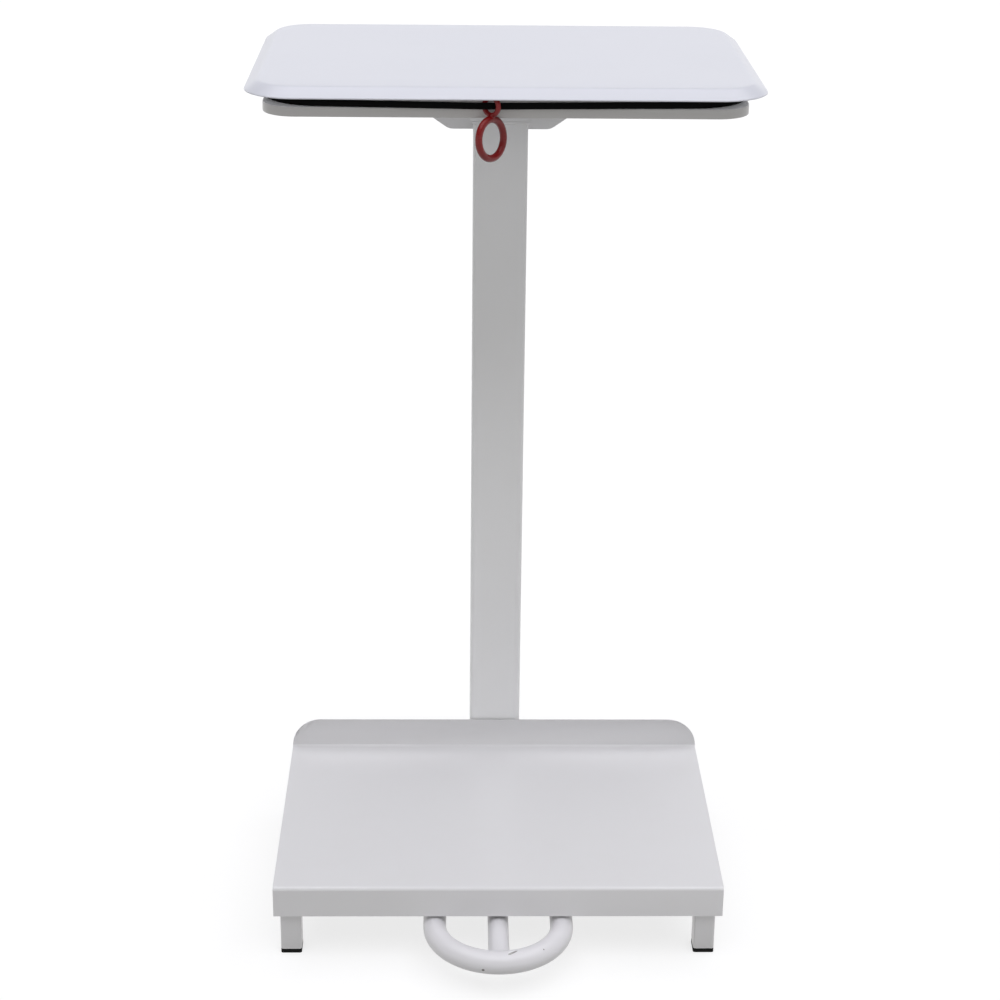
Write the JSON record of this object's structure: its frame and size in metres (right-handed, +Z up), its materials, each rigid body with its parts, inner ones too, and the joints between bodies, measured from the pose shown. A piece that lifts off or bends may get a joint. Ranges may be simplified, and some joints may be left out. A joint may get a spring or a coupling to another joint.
{
  "type": "pedal sack holder",
  "caption": "Free-standing clinic sack holder: hoop with elastic band on a square pole, load tray, and a hinged lid lifted hands-free by a foot pedal.",
  "frame": {"origin": "on the floor, centred left to right and front to back between the pedal's front and the hinge ears", "axes": "+Z up, +X to the right seen from the front, -Y towards the user at the pedal"},
  "size_m": [0.422, 0.3975, 0.794],
  "materials": {
    "white_enamel": "gloss white enamel over steel",
    "lid_enamel": "gloss white enamel over pressed sheet",
    "pedal_enamel": "gloss white enamel with foot wear",
    "black_plastic": "moulded, matt",
    "buffer_rubber": "matt",
    "band_rubber": "matt elastic",
    "red_plastic": "glossy moulded",
    "zinc_plate": "zinc plated",
    "rod_steel": "drawn steel",
    "nylon": "natural nylon"
  },
  "bodies": {
    "stand": {"left_side_rail": "white_enamel", "right_side_rail": "white_enamel", "front_left_leg": "white_enamel", "front_right_leg": "white_enamel", "rear_left_leg": "white_enamel", "rear_right_leg": "white_enamel", "front_left_foot": "black_plastic", "front_right_foot": "black_plastic", "rear_left_foot": "black_plastic", "rear_right_foot": "black_plastic", "front_cross_rail": "white_enamel", "pivot_cross_rail": "white_enamel", "rear_cross_rail": "white_enamel", "tray": "white_enamel", "pivot_brackets": "white_enamel", "pedal_axle": "zinc_plate", "axle_clips": "zinc_plate", "pedal_stop": "buffer_rubber", "pole": "white_enamel", "pole_clamp": "white_enamel", "pole_bolts": "zinc_plate", "pole_washers": "zinc_plate", "pole_nuts": "zinc_plate", "lower_rod_guide": "nylon", "upper_rod_guide": "nylon", "pole_cap": "white_enamel", "head_bracket": "white_enamel", "hinge_ears": "white_enamel", "hinge_pin": "zinc_plate", "hinge_clips": "zinc_plate", "hinge_washers": "nylon", "sack_hoop": "white_enamel", "sack_band": "band_rubber"},
    "pedal": {"pedal_loop": "pedal_enamel", "pedal_bar": "pedal_enamel", "pivot_sleeve": "pedal_enamel", "pedal_bushes": "nylon", "lever_arm": "pedal_enamel"},
    "rod": {"push_rod": "rod_steel", "rod_foot": "nylon", "rod_head": "rod_steel"},
    "lid": {"lid_shell": "lid_enamel", "lid_strap": "lid_enamel", "strap_studs": "zinc_plate", "strap_nuts": "zinc_plate", "lift_crank": "lid_enamel", "crank_pin": "zinc_plate", "lid_bumpers": "buffer_rubber"},
    "pull": {"pull_ring": "red_plastic"}
  },
  "joints": [
    {"name": "lid_hinge", "type": "hinge", "parent": "stand", "child": "lid", "pos_m": [0, 0.19075, 0.778], "axis": [-1, 0, 0], "range_deg": [0, 75]},
    {"name": "pedal_pivot", "type": "hinge", "parent": "stand", "child": "pedal", "pos_m": [0, -0.04725, 0.03], "axis": [1, 0, 0], "range_deg": [0, 6.5]},
    {"name": "rod_slide", "type": "slide", "parent": "stand", "child": "rod", "axis": [0, 0, 1], "range_m": [0, 0.0251]},
    {"name": "pull_swing", "type": "hinge", "parent": "stand", "child": "pull", "pos_m": [-0.0125, -0.10915, 0.7797], "axis": [-1, 0, 0], "range_deg": [0, 30]}
  ],
  "couplings": [
    {"joint": "pedal_pivot", "follows": "lid_hinge", "ratio": 0.0866},
    {"joint": "rod_slide", "follows": "lid_hinge", "m_per_rad": 0.0191}
  ]
}
